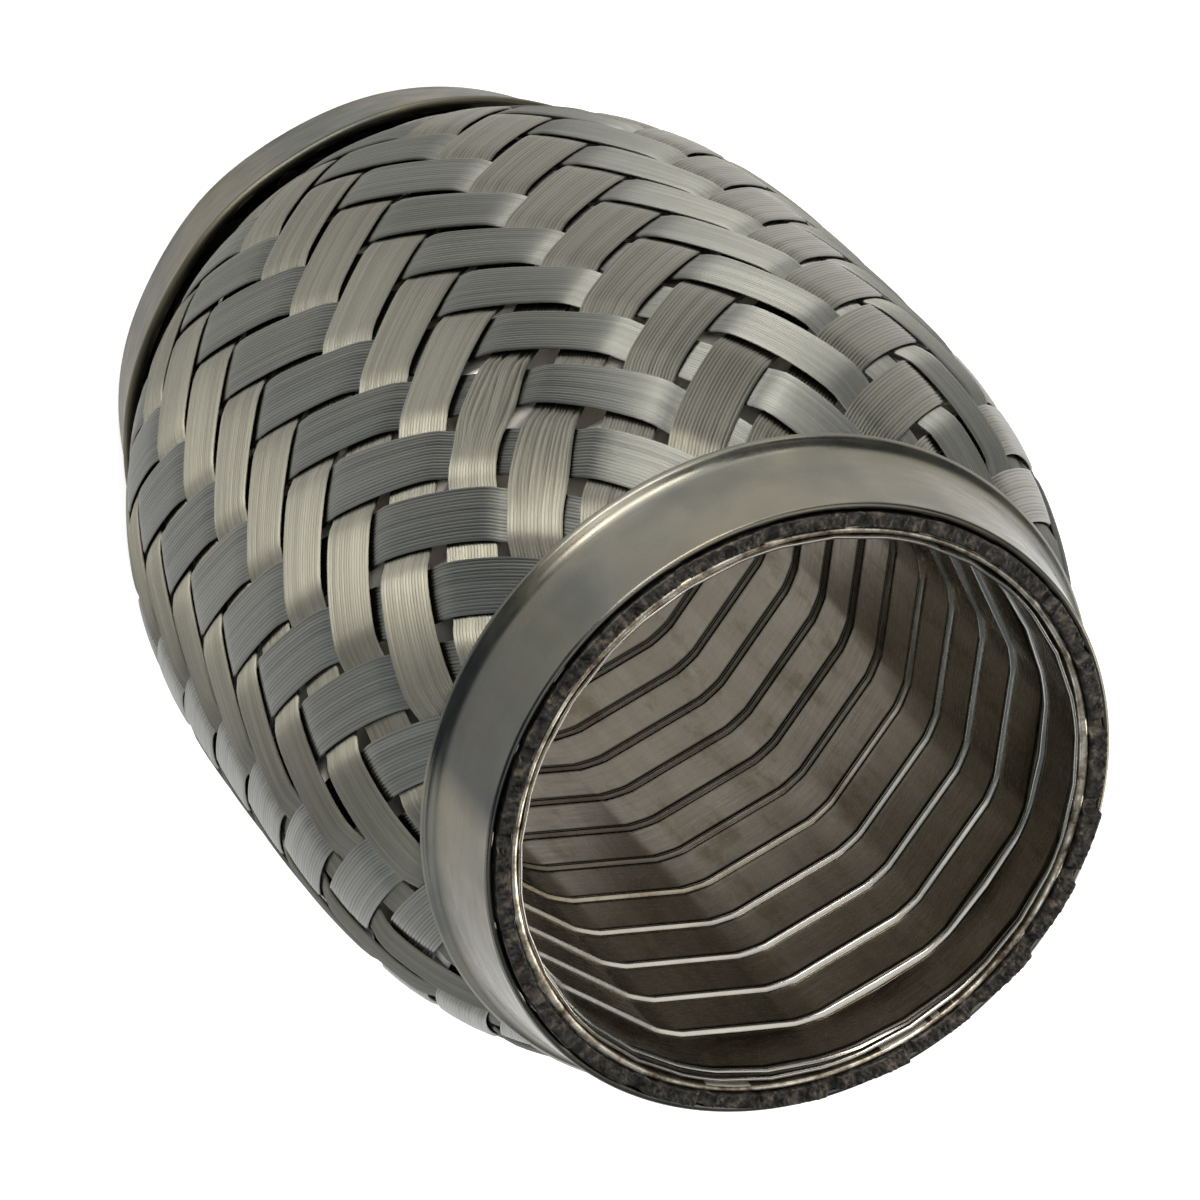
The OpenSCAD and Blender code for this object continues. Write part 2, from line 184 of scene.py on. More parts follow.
def ribbon(way, k, seed):
    """Points of one ribbon, as rows along it and columns across it."""
    r = np.random.default_rng(seed)
    lo, hi = (RIBBON_INSET - WEAVE_START) / ROW_STEP, (TOTAL - RIBBON_INSET - WEAVE_START) / ROW_STEP
    along = np.linspace(lo, hi, RIBBON_STEPS)
    column = 2 * k + way * along
    width = RIBBON_W - FRONT_TAPER * smoothstep(*FRONT_ROWS, along)
    width = width - REAR_TAPER * smoothstep(*REAR_ROWS, along)
    width = width * (1 + r.uniform(-WIDTH_SPREAD, WIDTH_SPREAD)) + WIDTH_WAVE * waves(along, seed + 1)
    beside = (column - OPEN_COLUMN + RIBBONS) % COLUMNS - RIBBONS
    width = width - OPEN_BY * np.exp(-(beside ** 2 + (along - OPEN_ROW) ** 2) / OPEN_REACH)
    side = SIDE_WAVE * waves(along, seed + 2, low=0.2, high=0.9)
    # Across: three points for each wire, and two more for the flat underside
    step = np.arange(3 * WIRES + 1)
    furrow = step % 3 == 0
    top = np.where(furrow, r.uniform(*FURROW, len(step)), r.uniform(*WIRE_TOP, len(step)))
    top[[0, -1]] = EDGE_TOP
    top = np.concatenate([top, [-RIBBON_T, -RIBBON_T]])
    place = np.concatenate([step / (3 * WIRES) - 0.5, [UNDERSIDE, -UNDERSIDE]])
    wire = np.concatenate([step // 3, [0, 0]])
    furrow = np.concatenate([furrow, [False, False]])
    across = side[:, None] + width[:, None] * place[None, :]
    # Loose wires
    fray_at, fray = FRAYED.get((way, k), (0, 0))
    past = (along - fray_at)[:, None]
    loose = fray * np.exp(-(past / FRAY_LEN) ** 4)
    stray = r.uniform(-0.5, 0.5, WIRES + 1)[wire]
    curl = FRAY_CURL * np.sin(CURL_TURN * stray * past + CURL_START * stray)
    across = across + loose * (FRAY_SPREAD * place + FRAY_SCATTER * stray + FRAY_FAN * place * past + curl)
    # Place on the sleeve: over two crossings, then under two
    m = column[:, None] + across
    z = WEAVE_START + (along[:, None] - way * across) * ROW_STEP
    over = np.tanh(OVER_STEEP * np.cos(math.pi / 2 * (column - 0.5))) * way
    crown = CROWN * np.cos(math.pi * np.clip(place, -0.5, 0.5))[None, :]
    rad = sleeve_r(z) - LIFT * (1 - over)[:, None] + top[None, :] + crown - SINK
    rad = rad - SETTLE * r.uniform(0, 1) - SETTLE_WAVE * (1 + waves(along, seed + 3))[:, None] / 2
    rad = rad + loose * (FRAY_LIFT * stray - FRAY_FURROW * furrow)
    phi = np.radians(WEAVE_TURN + COLUMN * m)
    uv = np.stack(np.broadcast_arrays(along[:, None] * MAP_ALONG, place * MAP_ACROSS), -1)
    tone = np.clip(r.uniform(0, 1, WIRES + 1)[wire] + FRAY_TONE * loose * stray, 0, 1)
    # Each ribbon has a random tone. Each direction also has its own painted tint, a painted shade and
    # reflection that make the falling ribbons darker and bluer
    lot_and_painted_shade = (r.uniform(0, 1) + (way > 0)) / 2
    return polar(rad, phi, z), uv, {"tone": tone, "lot_and_painted_shade": np.full(m.shape, lot_and_painted_shade)}


def braid(name, way, ks):
    """A group of ribbons of one direction, as one piece."""
    pts, uvs, quads, marks = [], [], [], []
    values = {"tone": [], "lot_and_painted_shade": []}
    first = 0
    for k in ks:
        p, uv, own = ribbon(way, k, 1000 * (2 + way) + 10 * k)
        rows, cols = p.shape[:2]
        mark = np.zeros((rows, cols), int)
        for j in list(range(0, 3 * WIRES + 1, 3)) + [cols - 2, cols - 1]:
            mark[:, j] = 1 + j + 100 * k
        quads.append(grid_quads(rows, cols, close_cols=True, first=first))
        pts.append(p.reshape(-1, 3))
        uvs.append(uv.reshape(-1, 2))
        marks.append(mark.ravel())
        for key in values:
            values[key].append(own[key].ravel())
        first += rows * cols
    values = {key: np.concatenate(v) for key, v in values.items()}
    obj = make(name, np.concatenate(pts), np.concatenate(quads), np.concatenate(uvs), values,
               np.concatenate(marks))
    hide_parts("braid_sleeve")
    return obj


braids = [
    braid("braid_" + word + "_" + half, way, ks)
    for way, word in ((1, "rising"), (-1, "falling"))
    for half, ks in (("a", range(RIBBONS // 2)), ("b", range(RIBBONS // 2, RIBBONS)))
]


# Cut ends of the wires, packed in a ring in each mouth and cracked into chunks
FRONT_CRACKS = [-90 - t for t in (12, 29, 45, 60, 73, 90, 104, 120, 136, 150, 165, 180, 194, 210, 236, 250,
                                  265, 280, 296, 313, 330, 345)]
REAR_CRACKS = [15 * i + d for i, d in enumerate(np.random.default_rng(11).uniform(-4, 4, 24))]
ENDS_STEP, ENDS_HEIGHT, ENDS_DEPTH = 0.25, 0.52, -4.0
ENDS_IN, ENDS_OUT = BRAID_IN + 0.02, BRAID_OUT - 0.03
TOP_RADII = np.linspace(BRAID_IN + 0.08, BRAID_OUT - 0.1, 9)
# Limits of the heights of the chunks, and of the ring's own points
CHUNK_TOP, ENDS_LOW, ENDS_TOP = PROUD - 0.02, 0.04, PROUD - 0.005
# Unevenness: slow and quick waves of height, the chunks' own heights, and the lumps of single wires
SLOW_WAVE, QUICK_WAVE, CHUNK_RISE, LUMP_UP, LUMP_OUT = 0.1, 0.05, (-0.12, 0.2), 0.1, 0.05
# Lean of every chunk, the share of it at the chunk's first edge, and its spread among the chunks
LEAN, LEAN_FIRST, LEAN_SPREAD = 0.12, 0.25, (0.7, 1)
SPLAY_WIDE, SPLAY_RISE = 60, 0.25
# Cracks: width of a slope in degrees, reach in slopes, depth, and the share of lean that they take away
CRACK_SLOPE, CRACK_REACH, CRACK_DEPTH, CRACK_HOLD = (0.8, 1.6), 1.3, (0.6, 1.2), 0.9


def wire_ends(name, front, cracks, seed, splay_at, splay):
    """Ring of cut ends: the chunks stand at odd heights and lean out most at the splayed side."""
    phi = np.radians(np.arange(0, 360, ENDS_STEP))
    deg = np.degrees(phi)
    r = np.random.default_rng(seed)
    height = ENDS_HEIGHT + SLOW_WAVE * waves(deg, seed, low=0.1, high=0.5)
    height += QUICK_WAVE * waves(deg, seed + 1, low=1, high=4)
    edges = np.sort(np.array(cracks) % 360)
    chunk = np.searchsorted(edges, deg) % len(edges)
    before = np.roll(edges, 1)[chunk]
    share = (deg - before) % 360 / ((edges[chunk] - before) % 360)
    height += r.uniform(*CHUNK_RISE, len(edges))[chunk]
    side = splay * hump(deg, splay_at, SPLAY_WIDE)
    lean = (LEAN + side) * (LEAN_FIRST + (1 - LEAN_FIRST) * share)
    lean = lean * r.uniform(*LEAN_SPREAD, len(edges))[chunk]
    height += SPLAY_RISE * side
    for c in edges:
        notch = np.clip(CRACK_REACH - np.abs(turn_from(deg, c)) / r.uniform(*CRACK_SLOPE), 0, 1)
        height -= r.uniform(*CRACK_DEPTH) * notch
        lean = lean * (1 - CRACK_HOLD * notch)
    height = np.clip(height, 0, CHUNK_TOP)
    # Each ring: its radius, its level, how far that follows the ends' height, and how far it leans out
    rings = [(ENDS_IN, ENDS_DEPTH, 0, 0), (ENDS_IN, -0.25, 1, 0)]
    rings += [(x, -0.06, 1, (x - BRAID_IN) / BRAID_WALL) for x in TOP_RADII]
    rings += [(ENDS_OUT, -0.2, 1, 1), (ENDS_OUT, 0.03, 0, 0.9), (ENDS_OUT, 0.02, 0, 0)]
    rings += [(ENDS_OUT, ENDS_DEPTH, 0, 0)]
    pts = []
    for i, (rad, level, follow, out) in enumerate(rings):
        z = level + follow * height
        if 1 < i < 2 + len(TOP_RADII):
            z = z + LUMP_UP * waves(deg, seed + 7 * i, low=2, high=7)
            rad = rad + LUMP_OUT * waves(deg, seed + 50 + i, low=1, high=5)
        if follow:
            z = np.clip(z, ENDS_LOW, ENDS_TOP)
        z = PROUD + PIPE_LEN + z if front else PROUD - z
        pts.append(polar(rad + out * lean, phi, z))
    quads = grid_quads(len(rings), len(deg), close_cols=True)
    obj = make(name, np.array(pts), quads if front else quads[:, ::-1])
    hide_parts("braid_sleeve")
    return obj


front_ends = wire_ends("wire_ends_front", True, FRONT_CRACKS, 31, 105, 0.75)
rear_ends = wire_ends("wire_ends_rear", False, REAR_CRACKS, 47, 0, 0.0)


# Caps: the sheet's section, turned round the axis
ROUND_STEP = 1.25
# Faint flats, pressed into the band by the crimping tool: width, turn, depth, and its share at the bends
JAW, JAW_TURN, JAW_DENT, JAW_BEND = 15.0, 4.0, 0.05, 0.6
EDGE_POINTS, BAND_POINTS, FLARE_POINTS, BEAD_POINTS = 13, 4, 14, 25
# Where the rear cap is out of round: angle, spread and height
REAR_SWELL = [(-84, 15, 0.55), (-122, 26, 0.5), (-52, 18, 0.35)]


def cap(name, node, front, swell=()):
    edge_up = CAP_WALL / 2 * (1 - math.sin(TILT)) / math.cos(TILT)
    edge_mid = np.array([CAP_OUT, 0]) + edge_up * BAND_UP - CAP_WALL / 2 * BAND_SIDE
    turn = math.pi - FLARE_TURN
    reach = math.asin(CAP_WALL / 2 / BEAD_R)
    out_dir = math.atan2(FLARE_END[1], FLARE_END[0])
    bands = np.linspace(0, 1, BAND_POINTS + 2)[1:-1, None]
    low_out = edge_mid + CAP_WALL / 2 * BAND_SIDE
    low_in = edge_mid - CAP_WALL / 2 * BAND_SIDE
    head_in = BAND_HEAD - CAP_WALL * BAND_SIDE
    section = np.concatenate([
        arc(edge_mid, CAP_WALL / 2, -math.pi - TILT, -TILT, EDGE_POINTS),
        low_out + (BAND_HEAD - low_out) * bands,
        arc(FLARE_MID, FLARE_R, math.pi - TILT, turn, FLARE_POINTS),
        arc(BEAD_MID, BEAD_R, out_dir - math.pi + reach, out_dir + math.pi - reach, BEAD_POINTS)[1:-1],
        arc(FLARE_MID, FLARE_R + CAP_WALL, turn, math.pi - TILT, FLARE_POINTS),
        low_in + (head_in - low_in) * bands[::-1],
    ])
    deg = np.arange(0, 360, ROUND_STEP)
    jaw = (deg + JAW_TURN) % JAW / JAW * 2 - 1
    # The outer side of the band is pressed, and the bends beside it are pressed less
    pressed = np.zeros(len(section))
    pressed[EDGE_POINTS - 1:EDGE_POINTS + BAND_POINTS + 1] = [JAW_BEND] + [1] * BAND_POINTS + [JAW_BEND]
    rad = section[:, 0][:, None] - JAW_DENT * pressed[:, None] * (1 - jaw ** 2)[None, :]
    for at, wide, high in swell:
        rad = rad + high * hump(deg, at, wide)[None, :]
    z = PROUD + section[:, 1]
    pts = polar(rad, np.radians(deg)[None, :], (TOTAL - z if front else z)[:, None])
    quads = grid_quads(len(section), len(deg), close_cols=True, close_rows=True)
    obj = make(name, pts, quads[:, ::-1] if front else quads)
    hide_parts(node)
    return obj


front_cap = cap("cap_front_sheet", "front_cap", True)
rear_cap = cap("cap_rear_sheet", "rear_cap", False, REAR_SWELL)


# Liner: wound strip with flat sides and a hooked seam
WOUND_START, WOUND_END = PROUD + SOCKET, TOTAL - PROUD - SOCKET
LINER_SIDES, LINER_TURN = 12, -12
SIDE_TURN = 360 / LINER_SIDES
# Half the angle of a flat, the radius of its two edges and the radius of the round corners
FLAT_HALF, FLAT_EDGE_R, CORNER_R = 12, 27.4, 27.42
FLAT_R = FLAT_EDGE_R * math.cos(math.radians(FLAT_HALF))
# Angles of the points of one side, from its middle
SIDE_STEPS = np.array([-FLAT_HALF, -10.5, 0, 10.5, FLAT_HALF, 13.5, 15, 16.5])
# The seam: pitches in the wound part, start in pitches and degrees, and the turns that cover the pipe
PITCHES, SEAM_LEAD, SEAM_FROM, SEAM_TURNS = 13, 0.65, -23, range(-2, 16)
SEAM_PITCH = (WOUND_END - WOUND_START) / PITCHES
# Seam: place along the axis, height, and shade from painted shadow, with some dirt, at -1 to painted
# highlight at 1
SEAM = [
    (-2.4, 0, 0), (-1.2, 0, 0), (-1.05, 0, -0.8), (-0.5, 0, -1), (-0.46, -0.14, -1), (-0.36, -0.14, -1),
    (-0.33, 0.12, 0), (-0.26, 0.28, 0.6), (-0.14, 0.36, 1), (-0.02, 0.38, 1), (0.05, 0.36, 1),
    (0.1, 0.3, 1), (0.22, 0.03, 1), (0.25, -0.12, -1), (0.46, -0.12, -1), (0.5, -0.01, -0.6),
    (0.62, 0, 0), (1.2, 0, 0), (2.6, 0, 0)]
# Distances from the mouth: where the seam's painted highlight turns to painted shade, where the sides get
# flat and where the seam rises
DARK_FROM, DARK_TO, DARKEN = 24, 46, 1.9
FLAT_FROM, FLAT_TO = 5.2, 8.4
RISE_FROM, RISE_TO, SOCKET_SEAM = 0.3, 1.2, 0.55
# Rounded rim, from the bore outwards: radius, and depth under the rim's top
RIM = [(27.58, 0.08), (27.72, 0), (27.85, 0.06), (27.95, 0.25)]
# A painted highlight on the rims
RIM_PAINTED_HIGHLIGHT = 0.7
RIM_ROWS = len(RIM) + 1


def liner_rows():
    """Places and shades of the liner's points, as rows from the rear rim to the front one."""
    deg = np.concatenate([LINER_TURN + SIDE_TURN * i + SIDE_STEPS for i in range(LINER_SIDES)])
    psi = np.radians((deg - LINER_TURN + SIDE_TURN / 2) % SIDE_TURN - SIDE_TURN / 2)
    sides = np.minimum(FLAT_R / np.cos(psi), CORNER_R)
    starts = [WOUND_START + SEAM_PITCH * (t + SEAM_LEAD + (deg - SEAM_FROM) / 360) for t in SEAM_TURNS]
    z = np.array([start + x for start in starts for x, _, _ in SEAM])
    z = np.clip(z, PROUD + RISE_FROM, TOTAL - PROUD - RISE_FROM)
    height, shade = [np.array([point[i] for point in SEAM] * len(starts), float)[:, None] for i in (1, 2)]
    # Deep in the pipe the seam's painted highlight turns to painted shade all over
    deep = smoothstep(DARK_FROM, DARK_TO, TOTAL - z)
    shade = np.where(shade > 0, shade * (1 - DARKEN * deep), shade)
    mouth = np.minimum(z - PROUD, TOTAL - PROUD - z)
    flat = smoothstep(FLAT_FROM, FLAT_TO, mouth)
    seam = smoothstep(RISE_FROM, RISE_TO, mouth) * (SOCKET_SEAM + (1 - SOCKET_SEAM) * flat)
    rad = BORE_R + (sides[None, :] - BORE_R) * flat - height * seam
    # The rims, and the outer side up to the middle of the pipe
    low, high = PROUD, TOTAL - PROUD
    outer = [(RIM[-1][0], MID)]
    first = np.array(outer + [(r, low + depth) for r, depth in reversed(RIM)])
    last = np.array([(r, high - depth) for r, depth in RIM] + outer)
    ring = np.ones(len(deg))
    rad = np.concatenate([np.outer(first[:, 0], ring), rad, np.outer(last[:, 0], ring)])
    z = np.concatenate([np.outer(first[:, 1], ring), z, np.outer(last[:, 1], ring)])
    rim_painted_highlight = np.full((RIM_ROWS, len(deg)), RIM_PAINTED_HIGHLIGHT)
    shade = np.concatenate([rim_painted_highlight, shade, rim_painted_highlight])
    return polar(rad, np.broadcast_to(np.radians(deg), rad.shape), z), shade


def liner_piece():
    pts, shade = liner_rows()
    rows, count = pts.shape[:2]
    # The last column joins the first one a turn further up, except in the rims
    top_row = rows - RIM_ROWS - 1
    wrap = []
    for i in range(rows - 1):
        here, above = i, i + 1
        if RIM_ROWS <= i < top_row:
            here, above = min(i + len(SEAM), top_row), min(i + 1 + len(SEAM), top_row)
        wrap.append([i * count + count - 1, here * count, above * count, (i + 1) * count + count - 1])
    quads = np.concatenate([grid_quads(rows, count), np.array(wrap)])[:, ::-1]
    obj = make("liner_strip", pts, quads, values={"seam_dirt_and_painted_light": shade})
    bm = bmesh.new()
    bm.from_mesh(obj.data)
    bmesh.ops.remove_doubles(bm, verts=bm.verts, dist=1e-6)
    bm.to_mesh(obj.data)
    bm.free()
    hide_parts("interlock_liner")
    return obj


liner = liner_piece()


# Rolled rims of the bellows in the two mouths, folded in unevenly: angle and spread of each fold
RIM_FOLDS = [(140, 28), (-15, 30), (-100, 20)]
ROLL_R, ROLL_UP, ROLL_DEPTH, ROLL_POINTS = 0.23, 0.02, -2.0, 9
FOLD_IN, FOLD_WAVE, FOLD_SEED = 0.33, 0.04, 91


def bellows_rim(name, front):
    mid = (BELLOWS_IN + BELLOWS_OUT) / 2
    section = np.concatenate([
        [[mid - ROLL_R, ROLL_DEPTH]],
        arc(np.array([mid, ROLL_UP]), ROLL_R, math.pi, 0, ROLL_POINTS),
        [[mid + ROLL_R, ROLL_DEPTH]],
    ])
    deg = np.arange(0, 360, ROUND_STEP)
    fold = FOLD_IN * sum(hump(deg, at, wide) for at, wide in RIM_FOLDS)
    fold = fold + FOLD_WAVE * (1 + waves(deg, FOLD_SEED, low=0.05, high=0.4))
    inner = np.clip((mid - section[:, 0]) / ROLL_R, 0, 1)
    rad = section[:, 0][:, None] - inner[:, None] * fold[None, :]
    z = TOTAL - PROUD + section[:, 1] if front else PROUD - section[:, 1]
    quads = grid_quads(len(section), len(deg), close_cols=True)
    pts = polar(rad, np.radians(deg)[None, :], z[:, None])
    return make(name, pts, quads if front else quads[:, ::-1])


rims = [bellows_rim("bellows_rim_front", True), bellows_rim("bellows_rim_rear", False)]


# Materials: each is a bare metal with its own colour and roughness, and most have a fine relief
def material(name):
    mat = bpy.data.materials.new(name)
    mat.use_nodes = True
    shader = mat.node_tree.nodes["Principled BSDF"]
    shader.inputs["Metallic"].default_value = 1.0
    return mat, mat.node_tree, shader


def add(tree, kind, **inputs):
    node = tree.nodes.new("ShaderNode" + kind)
    for key, value in inputs.items():
        node.inputs[key.replace("_", " ")].default_value = value
    return node


def object_place(tree):
    return tree.nodes.new("ShaderNodeTexCoord").outputs["Object"]


def noise(tree, vector, scale, detail=4.0, rough=0.55, stretch=None):
    if stretch:
        mapping = add(tree, "Mapping", Scale=stretch)
        tree.links.new(vector, mapping.inputs["Vector"])
        vector = mapping.outputs["Vector"]
    node = add(tree, "TexNoise", Scale=scale, Detail=detail, Roughness=rough)
    tree.links.new(vector, node.inputs["Vector"])
    return node.outputs["Fac"]


def ramp(tree, fac, stops):
    node = tree.nodes.new("ShaderNodeValToRGB")
    ends = node.color_ramp.elements
    while len(ends) < len(stops):
        ends.new(0.5)
    for e, (at, value) in zip(ends, stops):
        e.position = at
        e.color = (*value, 1)
    tree.links.new(fac, node.inputs["Fac"])
    return node.outputs["Color"]


def remap(tree, fac, a, b, low, high):
    node = tree.nodes.new("ShaderNodeMapRange")
    for key, v in (("From Min", a), ("From Max", b), ("To Min", low), ("To Max", high)):
        node.inputs[key].default_value = v
    tree.links.new(fac, node.inputs["Value"])
    return node.outputs["Result"]


def multiply(tree, a, b):
    node = tree.nodes.new("ShaderNodeMix")
    node.data_type = "RGBA"
    node.blend_type = "MULTIPLY"
    node.inputs["Factor"].default_value = 1
    tree.links.new(a, node.inputs["A"])
    tree.links.new(b, node.inputs["B"])
    return node.outputs["Result"]


def bump(tree, shader, height, strength, distance):
    node = add(tree, "Bump", Strength=strength, Distance=distance)
    tree.links.new(height, node.inputs["Height"])
    tree.links.new(node.outputs["Normal"], shader.inputs["Normal"])


def attribute(tree, name):
    node = tree.nodes.new("ShaderNodeAttribute")
    node.attribute_name = name
    return node.outputs["Fac"]


def wire_steel():
    mat, tree, shader = material("braid_wire_steel")
    uv = tree.nodes.new("ShaderNodeUVMap")
    uv.uv_map = "run"
    along = noise(tree, uv.outputs["UV"], 1.0, stretch=(0.12, 5.0, 1.0))
    base = ramp(tree, along, [(0.25, (0.166, 0.162, 0.143)), (0.75, (0.238, 0.232, 0.205))])
    tone = remap(tree, attribute(tree, "tone"), 0, 1, 0.8, 1.02)
    # The falling ribbons are in the lower half, darker and bluer, and the rising ones in the upper half,
    # lighter and warmer: a painted shade and reflection by direction, over a random tone for each ribbon
    lot_and_painted_shade = ramp(tree, attribute(tree, "lot_and_painted_shade"), [
        (0.0, (0.78, 0.81, 0.84)), (0.49, (0.88, 0.9, 0.92)),
        (0.51, (0.9, 0.885, 0.83)), (1.0, (1.0, 0.99, 0.935))])
    base = multiply(tree, multiply(tree, base, tone), lot_and_painted_shade)
    tree.links.new(base, shader.inputs["Base Color"])
    tree.links.new(remap(tree, along, 0.2, 0.8, 0.4, 0.52), shader.inputs["Roughness"])
    # Drawn wire: the light spreads across the wires, not along them
    shader.inputs["Anisotropic"].default_value = 0.95
    shader.inputs["Anisotropic Rotation"].default_value = 0.25
    run = tree.nodes.new("ShaderNodeTangent")
    run.direction_type = "UV_MAP"
    run.uv_map = "run"
    tree.links.new(run.outputs["Tangent"], shader.inputs["Tangent"])
    return mat


def end_steel():
    mat, tree, shader = material("cut_wire_ends")
    where = object_place(tree)
    spots = noise(tree, where, 900, 5)
    base = ramp(tree, spots, [
        (0.35, (0.018, 0.016, 0.014)), (0.55, (0.05, 0.047, 0.043)), (0.72, (0.17, 0.135, 0.1))])
    tree.links.new(base, shader.inputs["Base Color"])
    tree.links.new(remap(tree, spots, 0.3, 0.7, 0.4, 0.65), shader.inputs["Roughness"])
    bump(tree, shader, noise(tree, where, 2500, 3), 0.5, 0.0002)
    return mat


# Colour across the part: a painted reflection on the front cap, lighter and warmer towards one side and
# darker and bluer towards the other, and an even brown grey on the rear one
FRONT_PAINTED_REFLECTION = [
    (0.02, (0.72, 0.71, 0.65)), (0.22, (1.0, 0.96, 0.86)), (0.48, (0.66, 0.665, 0.66)),
    (0.6, (0.52, 0.52, 0.48)), (0.72, (0.4, 0.43, 0.47)), (0.845, (0.4, 0.43, 0.49)),
    (0.885, (0.9, 0.88, 0.83))]
BROWN = [(0.0, (0.98, 0.96, 0.86)), (1.0, (0.97, 0.95, 0.84))]
TINT_REACH = 0.03


def cap_steel(name, low, high, rough, tint):
    """Sheet steel of a cap: its two colours, its roughness and its colour across the part, which on the
    front cap is a painted reflection.
    """
    mat, tree, shader = material(name)
    where = object_place(tree)
    cloud = noise(tree, where, 45, 4)
    fine = noise(tree, where, 250, 4, 0.6, stretch=(1, 1, 5))
    # Patches of bluer and warmer colour: a painted, patchy reflection
    painted_reflection_patch = noise(tree, where, 55, 3)
    base = ramp(tree, cloud, [(0.35, low), (0.65, high)])
    base = multiply(tree, base, ramp(tree, painted_reflection_patch, [
        (0.36, (0.66, 0.71, 0.78)), (0.5, (1, 1, 1)), (0.66, (1.0, 0.95, 0.87))]))
    # Colour across the part along X: on the front cap a painted reflection, lighter on one side and darker
    # and bluer on the other
    split = add(tree, "SeparateXYZ")
    tree.links.new(where, split.inputs["Vector"])
    across = remap(tree, split.outputs["X"], -TINT_REACH, TINT_REACH, 0, 1)
    base = multiply(tree, base, ramp(tree, across, tint))
    tree.links.new(base, shader.inputs["Base Color"])
    tree.links.new(remap(tree, fine, 0.3, 0.7, *rough), shader.inputs["Roughness"])
    bump(tree, shader, cloud, 0.12, 0.0006)
    return mat


def liner_steel():
    mat, tree, shader = material("liner_strip_steel")
    where = object_place(tree)
    cloud = noise(tree, where, 400, 5, 0.65, stretch=(1, 1, 0.12))
    fine = noise(tree, where, 300, 3, stretch=(1, 1, 8))
    stain = noise(tree, where, 300, 5, 0.7, stretch=(1, 1, 0.3))
    base = ramp(tree, cloud, [
        (0.3, (0.24, 0.212, 0.166)), (0.5, (0.272, 0.242, 0.192)), (0.7, (0.315, 0.283, 0.23))])
    base = multiply(tree, base, ramp(tree, stain, [(0.34, (0.75, 0.69, 0.62)), (0.46, (1, 1, 1))]))
    # Painted shadow, with some dirt, in the two grooves beside the seam, and a painted highlight on the
    # seam's bead and on the rims
    base = multiply(tree, base, remap(tree, attribute(tree, "seam_dirt_and_painted_light"), -1, 0, 0.15, 1))
    painted_highlight = tree.nodes.new("ShaderNodeMix")
    painted_highlight.data_type = "RGBA"
    painted_highlight.inputs["B"].default_value = (0.4, 0.385, 0.35, 1)
    tree.links.new(attribute(tree, "seam_dirt_and_painted_light"), painted_highlight.inputs["Factor"])
    tree.links.new(base, painted_highlight.inputs["A"])
    tree.links.new(painted_highlight.outputs["Result"], shader.inputs["Base Color"])
    tree.links.new(remap(tree, fine, 0.3, 0.7, 0.2, 0.32), shader.inputs["Roughness"])
    bump(tree, shader, cloud, 0.06, 0.0004)
    return mat


def bellows_steel():
    mat, tree, shader = material("bellows_sheet_steel")
    cloud = noise(tree, object_place(tree), 120, 4)
    base = ramp(tree, cloud, [(0.3, (0.78, 0.75, 0.68)), (0.7, (0.9, 0.87, 0.81))])
    tree.links.new(base, shader.inputs["Base Color"])
    tree.links.new(remap(tree, cloud, 0.3, 0.7, 0.52, 0.66), shader.inputs["Roughness"])
    return mat


def rim_steel():
    mat, tree, shader = material("bellows_rim_steel")
    spots = noise(tree, object_place(tree), 420, 5, 0.7)
    base = ramp(tree, spots, [
        (0.36, (0.07, 0.05, 0.035)), (0.48, (0.3, 0.26, 0.2)), (0.6, (0.62, 0.57, 0.48))])
    tree.links.new(base, shader.inputs["Base Color"])
    tree.links.new(remap(tree, spots, 0.3, 0.7, 0.5, 0.28), shader.inputs["Roughness"])
    bump(tree, shader, spots, 0.3, 0.0003)
    return mat


def dress(pieces, mat):
    for piece in pieces:
        piece.data.materials.clear()
        piece.data.materials.append(mat)


dress(braids, wire_steel())
dress([front_ends, rear_ends], end_steel())
dress([front_cap], cap_steel(
    "front_cap_steel", (0.134, 0.131, 0.117), (0.188, 0.179, 0.154), (0.22, 0.36), FRONT_PAINTED_REFLECTION))
dress([rear_cap], cap_steel(
    "rear_cap_steel", (0.092, 0.09, 0.076), (0.128, 0.12, 0.102), (0.34, 0.48), BROWN))
dress([liner], liner_steel())
dress([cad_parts["bellows"]], bellows_steel())
dress(rims, rim_steel())


# Floor: pale paper that glows white to the camera and in reflections, and keeps the shadow
FLOOR_HALF, FLOOR_GLOW = 3, 0.55


def math_node(tree, operation, a, b):
    node = add(tree, "Math")
    node.operation = operation
    for socket, value in zip(node.inputs, (a, b)):
        if isinstance(value, float):
            socket.default_value = value
        else:
            tree.links.new(value, socket)
    return node.outputs[0]


def floor():
    mesh = bpy.data.meshes.new("floor")
    corners = [(x * FLOOR_HALF, y * FLOOR_HALF, 0) for x, y in ((-1, -1), (1, -1), (1, 1), (-1, 1))]
    mesh.from_pydata(corners, [], [(0, 1, 2, 3)])
    obj = bpy.data.objects.new("floor", mesh)
    bpy.context.scene.collection.objects.link(obj)
    mat = bpy.data.materials.new("floor_paper")
    mat.use_nodes = True
    tree = mat.node_tree
    tree.nodes.clear()
    paper = add(tree, "BsdfDiffuse", Color=(0.8, 0.8, 0.8, 1))
    glow = add(tree, "Emission", Color=(1, 1, 1, 1))
    path = tree.nodes.new("ShaderNodeLightPath")
    seen = path.outputs["Is Camera Ray"]
    for ray in ("Is Glossy Ray", "Is Transmission Ray"):
        seen = math_node(tree, "MAXIMUM", seen, path.outputs[ray])
    tree.links.new(math_node(tree, "MULTIPLY", seen, FLOOR_GLOW), glow.inputs["Strength"])
    both = tree.nodes.new("ShaderNodeAddShader")
    tree.links.new(paper.outputs[0], both.inputs[0])
    tree.links.new(glow.outputs[0], both.inputs[1])
    out = tree.nodes.new("ShaderNodeOutputMaterial")
    tree.links.new(both.outputs[0], out.inputs["Surface"])
    mesh.materials.append(mat)


floor()

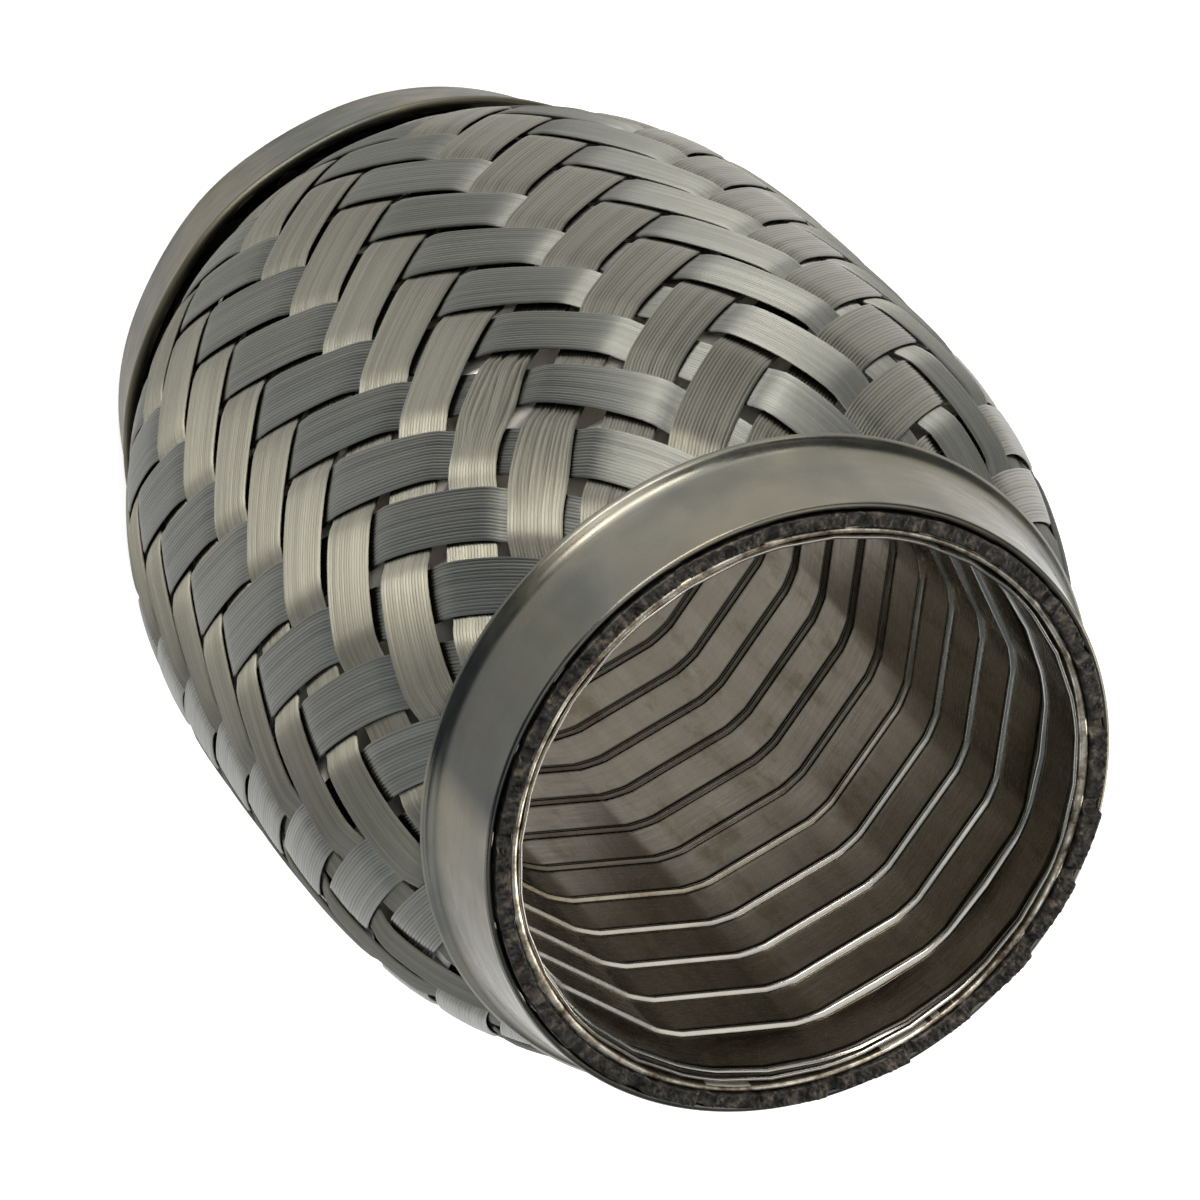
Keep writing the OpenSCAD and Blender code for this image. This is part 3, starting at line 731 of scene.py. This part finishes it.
# Camera as in the photograph: place in metres, tilt from straight down, roll and framing
EYE = (0.00109, -0.3706, 0.5915)
EYE_TILT, EYE_ROLL = math.radians(34.6667), math.radians(138.2228)
SENSOR, LENS, SHIFT = 36, 201.95, (0.0019, 0.0016)
cam_data = bpy.data.cameras.new("camera")
cam_data.sensor_width = SENSOR
cam_data.lens = LENS
cam_data.shift_x, cam_data.shift_y = SHIFT
cam_data.clip_start, cam_data.clip_end = 0.01, 20
cam = bpy.data.objects.new("camera", cam_data)
eye_turn = Matrix.Rotation(EYE_TILT, 4, "X") @ Matrix.Rotation(EYE_ROLL, 4, "Z")
cam.matrix_world = Matrix.Translation(EYE) @ eye_turn
bpy.context.scene.collection.objects.link(cam)
bpy.context.scene.camera = cam

# Light: soft panels round the middle of the part, and a dim pale blue world
AIM_AT = Vector((0, 0, 0.055))
WARM, WARMER, WHITE, COOL = (1.0, 0.97, 0.9), (1.0, 0.95, 0.87), (1, 1, 1), (0.9, 0.95, 1.0)
WORLD_COLOR, WORLD_STRENGTH = (0.74, 0.88, 1.0, 1), 0.2


def panel(name, azimuth, elevation, distance, size, power, color):
    data = bpy.data.lights.new(name, "AREA")
    data.shape = "RECTANGLE"
    data.size, data.size_y = size
    data.energy = power
    data.color = color
    obj = bpy.data.objects.new(name, data)
    a, e = math.radians(azimuth), math.radians(elevation)
    d = Vector((math.cos(e) * math.cos(a), math.cos(e) * math.sin(a), math.sin(e))).normalized()
    turned = d.to_track_quat("Z", "Y").to_matrix().to_4x4()
    obj.matrix_world = Matrix.Translation(AIM_AT + d * distance) @ turned
    bpy.context.scene.collection.objects.link(obj)


panel("key", -108, 24, 0.7, (0.44, 0.17), 4.0, WARM)
panel("upper", -104, 50, 0.7, (0.26, 0.2), 1.0, (1.0, 0.97, 0.92))
panel("low", -124, 6, 0.7, (1.0, 0.13), 1.6, WHITE)
panel("back", 116, 22, 0.7, (0.5, 0.3), 2.8, WARMER)
panel("mouth", 178, 58, 0.7, (0.5, 0.35), 0.75, WARMER)
panel("side", 8, 18, 0.7, (0.8, 0.36), 1.2, COOL)
panel("top", 0, 88, 0.9, (0.7, 0.7), 2.0, WHITE)

world = bpy.data.worlds.new("world")
bpy.context.scene.world = world
world.use_nodes = True
world.node_tree.nodes["Background"].inputs["Color"].default_value = WORLD_COLOR
world.node_tree.nodes["Background"].inputs["Strength"].default_value = WORLD_STRENGTH

bpy.context.scene.view_settings.view_transform = "Standard"
